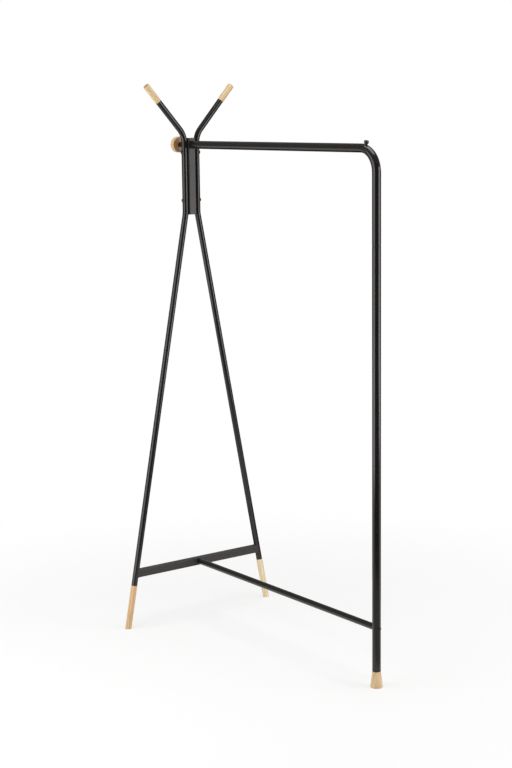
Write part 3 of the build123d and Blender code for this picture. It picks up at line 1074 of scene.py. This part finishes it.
@dataclass
class Studio:
    """White floor and surroundings, softboxes, cloths and the camera."""

    floor_size: float = 40.0
    floor_colour: str = "#F4F4F3"
    floor_glow: float = 0.65
    floor_fade: tuple[float, float] = (0.4, 1.8)
    ambient: float = 0.2
    camera_place: tuple[float, float, float] = (3.8529, -2.9027, 1.6443)
    camera_yaw: float = 0.9357
    camera_pitch: float = 0.1692
    camera_roll: float = -0.0127
    camera_clip: tuple[float, float] = (0.05, 200.0)
    lens: float = 75.99
    sensor: float = 36.0
    lamps: tuple[Softbox, ...] = (
        Softbox("left_softbox", (-0.15, -1.95, 1.2), (0.2, 0.0, 1.2), 1.9, 2.2, 2.7),
        Softbox("right_softbox", (2.81, 1.6, 1.2), (0.3, 0.0, 1.2), 2.2, 2.2, 4.0),
        Softbox("top_softbox", (0.2, 0.3, 4.6), (0.2, 0.0, 0.0), 3.0, 3.0, 3.8),
    )
    cloths: tuple[Cloth, ...] = (
        Cloth("black_cloth", "#242220", ((1.4, 0.02), (6.0, 0.02), (6.0, 4.8)), (-84, 20)),
        Cloth("low_cloth", "#242220", ((2.2, 0.02), (2.2, 0.6)), (-20, 20)),
        Cloth("pale_cloth", "#BCBAB8", ((0.62, 0.02), (1.4, 0.02)), (-84, 20)),
        Cloth("grey_cloth", "#8A8886", ((6.4, 0.02), (6.4, 2.6)), (192, 424)),
        Cloth("dark_backdrop", "#3A3836", ((0.62, 0.02), (6.2, 0.02), (6.2, 1.6)), (64, 192)),
        Cloth("grey_ceiling", "#8A8886", ((6.4, 2.6), (6.4, 5.0), (0.1, 5.2)), (0, 360)),
    )

    def build(self) -> None:
        """Builds the stage in order."""
        self.build_world()
        self.build_floor()
        for piece in (*self.lamps, *self.cloths):
            piece.build()
        self.build_camera()

    def seen_directly(self, tree: NodeTree) -> Node:
        """A factor of one for rays from the camera, mirrored or let through.

        Args:
            tree: the tree that gets the nodes.

        Returns:
            The node with the factor.
        """
        path = add_node(tree, "ShaderNodeLightPath").outputs
        factor = path["Is Camera Ray"]
        for rays in ("Is Glossy Ray", "Is Transmission Ray"):
            factor = add_node(tree, "ShaderNodeMath", {0: factor, 1: path[rays]}, operation="MAXIMUM")
        return factor

    def build_world(self) -> None:
        """Surroundings that light softly and look white."""
        world = bpy.data.worlds.new("white_studio")
        bpy.context.scene.world = world
        world.use_nodes = True
        tree = world.node_tree
        tree.nodes.clear()
        soft, white = [add_node(tree, "ShaderNodeBackground", {"Color": linear(WHITE), "Strength": strength})
                       for strength in (self.ambient, 1.0)]
        mix = add_node(tree, "ShaderNodeMixShader", {0: self.seen_directly(tree), 1: soft, 2: white})
        add_node(tree, "ShaderNodeOutputWorld", {"Surface": mix})

    def build_floor(self) -> None:
        """Pale floor that looks white and keeps part of the stand's shadow."""
        half = self.floor_size / 2
        corners = [(-half, -half, 0), (half, -half, 0), (half, half, 0), (-half, half, 0)]
        floor = placed_object("studio_floor", corners, (), [(0, 1, 2, 3)])
        material, tree = new_material("matt_white_studio_floor")
        matt = add_node(tree, "ShaderNodeBsdfDiffuse", {"Color": linear(self.floor_colour)})
        glow = add_node(tree, "ShaderNodeEmission", {"Color": linear(WHITE), "Strength": 1.0})
        place = add_node(tree, "ShaderNodeTexCoord").outputs["Object"]
        away = add_node(tree, "ShaderNodeVectorMath", {0: place}, operation="LENGTH")
        level = add_node(tree, "ShaderNodeMapRange",
                         {"Value": away, "From Min": self.floor_fade[0], "From Max": self.floor_fade[1],
                          "To Min": self.floor_glow, "To Max": 1.0}, interpolation_type="SMOOTHSTEP")
        factor = self.seen_directly(tree)
        share = add_node(tree, "ShaderNodeMath", {0: factor, 1: level}, operation="MULTIPLY")
        mix = add_node(tree, "ShaderNodeMixShader", {0: share, 1: matt, 2: glow})
        add_node(tree, "ShaderNodeOutputMaterial", {"Surface": mix})
        floor.data.materials.append(material)

    def build_camera(self) -> None:
        """Camera at the photograph's viewing angle."""
        yaw, pitch, roll = self.camera_yaw, self.camera_pitch, self.camera_roll
        ahead = Vector((-math.sin(yaw) * math.cos(pitch), math.cos(yaw) * math.cos(pitch), -math.sin(pitch)))
        level = Vector((math.cos(yaw), math.sin(yaw), 0.0))
        over = level.cross(ahead)
        right = level * math.cos(roll) + over * math.sin(roll)
        top = over * math.cos(roll) - level * math.sin(roll)
        turn = Matrix((right, top, -ahead)).transposed().to_4x4()
        lens = bpy.data.cameras.new("photo_camera")
        lens.lens, lens.sensor_width = self.lens, self.sensor
        lens.clip_start, lens.clip_end = self.camera_clip
        camera = bpy.data.objects.new("photo_camera", lens)
        bpy.context.scene.collection.objects.link(camera)
        camera.matrix_world = Matrix.Translation(self.camera_place) @ turn
        bpy.context.scene.camera = camera


def main() -> None:
    """Builds the stand's looks piece by piece, then the studio round it."""
    logging.basicConfig(level=logging.INFO, format="%(name)s: %(message)s")
    bpy.context.scene.view_settings.view_transform = "Standard"
    black = PowderCoat().material()
    # A finer, drier powder scatters the lamps, so that flat faces look an even, dull black.
    flat_black = PowderCoat("fine_texture_black_powder_coat", dark="#292623", light="#2F2B28", glossy=0.38,
                            dull=0.44).material()
    zinc = PlatedSteel().material()
    tubes, screws, threads = tube_tool(), screw_tool(), thread_tool()
    EndFrame(black, flat_black, zinc, tubes).build()
    RailAndPost(black, tubes).build()
    Stretcher(black, tubes, screws).build()
    Peg(black, threads).build()
    InnerHardware(zinc).build()
    Studio().build()


if __name__ == "__main__":
    main()
